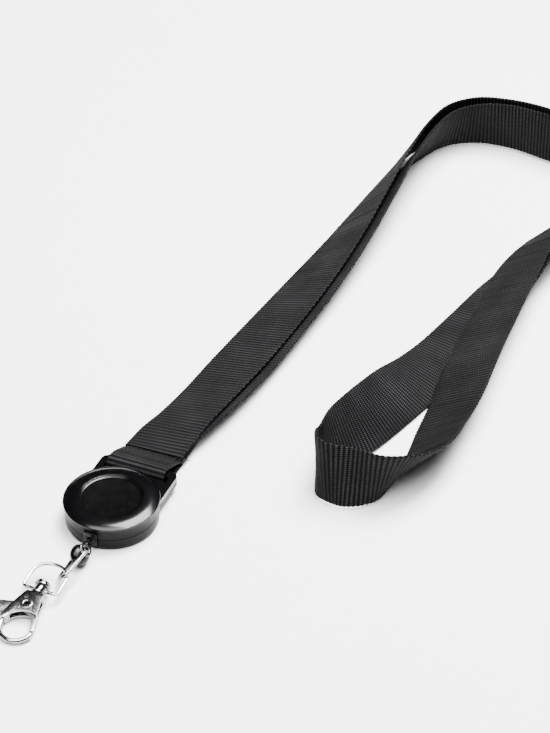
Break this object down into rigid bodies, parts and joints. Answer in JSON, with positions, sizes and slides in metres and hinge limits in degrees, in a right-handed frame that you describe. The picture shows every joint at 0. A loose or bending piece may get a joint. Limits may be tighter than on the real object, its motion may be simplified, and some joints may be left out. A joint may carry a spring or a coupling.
{
  "type": "lanyard badge holder",
  "caption": "Neck lanyard of ribbed webbing with a round retractable badge reel and a swivel trigger clasp, lying flat with its neck loop folded back beside the reel.",
  "frame": {"origin": "centre of the reel's flat rear face, which rests on the table", "axes": "+Z out of the reel's front, +Y from the reel towards the webbing, -Y the way the pull cord comes out"},
  "size_m": [0.1147, 0.3093, 0.0206],
  "materials": {
    "webbing": "black polyester webbing with close cross ribs",
    "thread": "black polyester sewing thread",
    "gloss_plastic": "polished black ABS with a matt recess floor",
    "satin_plastic": "black ABS, slightly satin",
    "guide_plastic": "dark grey moulded plastic",
    "inner_plastic": "natural grey acetal",
    "bead_plastic": "glossy black moulded bead",
    "cord": "black braided nylon",
    "spring_steel": "rolled spring steel",
    "chrome": "nickel-chrome plated zinc and wire",
    "dark_steel": "plated stamped steel"
  },
  "bodies": {
    "strap": {"strap_outer_strand": "webbing", "strap_neck_bend": "webbing", "strap_inner_strand": "webbing", "strap_fold": "webbing", "bar_tack": "thread"},
    "reel": {"front_shell": "gloss_plastic", "rear_shell": "satin_plastic", "cord_guide": "guide_plastic"},
    "spool": {"spool": "inner_plastic", "spring_cover": "inner_plastic", "spiral_spring": "spring_steel", "cord_winding": "cord"},
    "cord_end": {"pull_cord": "cord", "cord_end": "bead_plastic", "cord_eyelet": "chrome"},
    "link": {"link_ring": "chrome"},
    "bail": {"bail": "chrome"},
    "hook": {"swivel_post": "chrome", "swivel_collar": "chrome", "hook_body": "chrome", "gate_rivet": "chrome", "gate_spring": "spring_steel"},
    "gate": {"gate_lever": "dark_steel"}
  },
  "joints": [
    {"name": "reel_swing", "type": "hinge", "parent": "strap", "child": "reel", "pos_m": [0, 0.019, 0.0039], "axis": [1, 0, 0], "range_deg": [-80, 80]},
    {"name": "cord_pull", "type": "slide", "parent": "reel", "child": "cord_end", "axis": [0, -1, 0], "range_m": [0, 0.6], "stiffness_N_per_m": 2, "springref_m": -0.5, "deforming": ["pull_cord"]},
    {"name": "spool_spin", "type": "hinge", "parent": "reel", "child": "spool", "pos_m": [0, 0, 0.0039], "axis": [0, 0, 1], "range_deg": [0, 3480], "deforming": ["spiral_spring"]},
    {"name": "link_swing", "type": "hinge", "parent": "cord_end", "child": "link", "pos_m": [0, -0.0201, 0.0034], "axis": [0.7071, 0, 0.7071], "range_deg": [-75, 75]},
    {"name": "bail_swing", "type": "hinge", "parent": "link", "child": "bail", "pos_m": [0.00143, -0.03215, 0.00418], "axis": [-0.2425, 0.9631, 0.1165], "range_deg": [-25, 60]},
    {"name": "swivel_spin", "type": "hinge", "parent": "bail", "child": "hook", "pos_m": [-0.0038, -0.0386, 0.0034], "axis": [0, 0.9928, 0.1201], "continuous": true},
    {"name": "gate_open", "type": "hinge", "parent": "hook", "child": "gate", "pos_m": [-0.0042, -0.04545, 0.00257], "axis": [0, 0.1201, -0.9928], "range_deg": [0, 25], "stiffness_Nm_per_rad": 0.03, "springref_deg": -17.19, "deforming": ["gate_spring"]}
  ],
  "couplings": [
    {"joint": "spool_spin", "follows": "cord_pull", "rad_per_m": 101}
  ]
}
